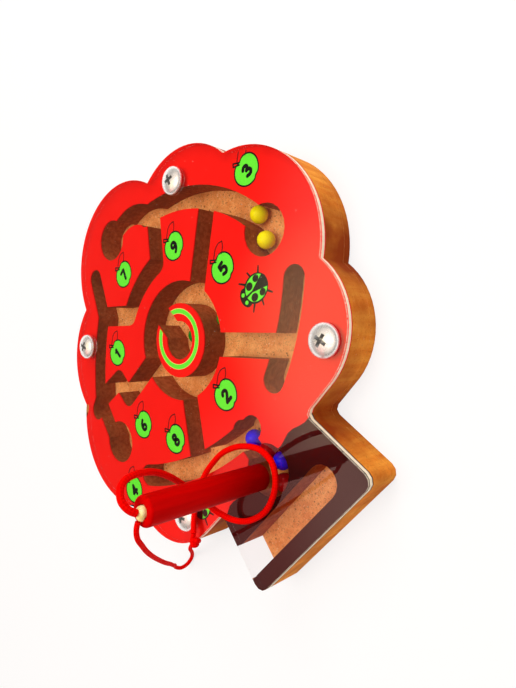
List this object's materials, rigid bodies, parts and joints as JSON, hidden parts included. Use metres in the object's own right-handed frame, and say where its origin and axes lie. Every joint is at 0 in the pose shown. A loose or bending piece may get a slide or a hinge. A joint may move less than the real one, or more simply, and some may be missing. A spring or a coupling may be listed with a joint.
{
  "type": "magnetic ball maze",
  "caption": "Tree-shaped hand-held ball maze: channels under a clear screwed cover hold coloured steel balls, moved with a corded magnet wand that stows in the trunk.",
  "frame": {"origin": "middle of the maze ring, on the back face that the board lies on", "axes": "+X to the tree's right, +Y from trunk to crown, +Z out of the clear cover"},
  "size_m": [0.1468, 0.1569, 0.0631],
  "materials": {
    "floor_board": "bare fibreboard with fine dark specks",
    "fibreboard": "cut edge, darker inside the channels",
    "red_print": "glossy printed sheet",
    "brown_print": "glossy printed sheet",
    "clear_sheet": "clear acrylic with a frosted cut edge",
    "nickel": "bright nickel plate",
    "red_lacquer": "red lacquered dowel",
    "magnet": "plated magnet",
    "glue": "dried glue",
    "red_cord": "braided red cord",
    "yellow_paint": "gloss paint on steel",
    "blue_paint": "gloss paint on steel",
    "red_paint": "gloss paint on steel",
    "green_paint": "gloss paint on steel"
  },
  "bodies": {
    "board": {"back_panel": "floor_board", "maze_frame": "fibreboard", "maze_island": "fibreboard", "maze_ring": "fibreboard", "crown_facing": "red_print", "trunk_facing": "brown_print", "island_facing": "red_print", "ring_facing": "red_print", "clear_cover": "clear_sheet", "cover_screw_1": "nickel", "cover_screw_2": "nickel", "cover_screw_3": "nickel", "cover_screw_4": "nickel"},
    "wand": {"wand_stick": "red_lacquer", "wand_magnet": "magnet", "cord_plug": "glue", "cord_long": "red_cord", "cord_short": "red_cord", "cord_knot": "red_cord"},
    "yellow_lead": {"yellow_ball_1": "yellow_paint"},
    "yellow_trail": {"yellow_ball_2": "yellow_paint"},
    "blue_lead": {"blue_ball_1": "blue_paint"},
    "red_lead": {"red_ball_1": "red_paint"},
    "blue_trail": {"blue_ball_2": "blue_paint"},
    "red_trail": {"red_ball_2": "red_paint"},
    "green_lead": {"green_ball_1": "green_paint"},
    "green_trail": {"green_ball_2": "green_paint"}
  },
  "joints": [
    {"name": "wand_lift", "type": "slide", "parent": "board", "child": "wand", "axis": [0, 0, 1], "range_m": [0, 0.08]},
    {"name": "right_run", "type": "hinge", "parent": "board", "child": "yellow_lead", "pos_m": [-0.0084, -0.0072, 0.0062], "axis": [0, 0, 1], "range_deg": [-3, 46]},
    {"name": "pocket_roll", "type": "slide", "parent": "board", "child": "yellow_trail", "axis": [0.8804, -0.4742, 0], "range_m": [0, 0.0085]},
    {"name": "low_run", "type": "hinge", "parent": "board", "child": "blue_lead", "pos_m": [0.0155, 0.0599, 0.0062], "axis": [0, 0, -1], "range_deg": [0, 27.5]},
    {"name": "trunk_roll_red", "type": "slide", "parent": "board", "child": "red_lead", "axis": [0, 1, 0], "range_m": [0, 0.0074]},
    {"name": "trunk_roll_blue", "type": "slide", "parent": "board", "child": "blue_trail", "axis": [-0.2013, 0.9795, 0], "range_m": [0, 0.0062]},
    {"name": "trunk_roll_last", "type": "slide", "parent": "board", "child": "red_trail", "axis": [0.5293, 0.8484, 0], "range_m": [0, 0.0047]},
    {"name": "ring_exit", "type": "slide", "parent": "board", "child": "green_lead", "axis": [-0.2607, 0.9654, 0], "range_m": [0, 0.016]},
    {"name": "moat_roll", "type": "hinge", "parent": "board", "child": "green_trail", "pos_m": [0, 0, 0.0062], "axis": [0, 0, 1], "range_deg": [-90, 85]}
  ],
  "couplings": [
    {"joint": "trunk_roll_red", "follows": "low_run", "m_per_rad": 0.015},
    {"joint": "trunk_roll_blue", "follows": "low_run", "m_per_rad": 0.0125},
    {"joint": "trunk_roll_last", "follows": "low_run", "m_per_rad": 0.0094}
  ]
}
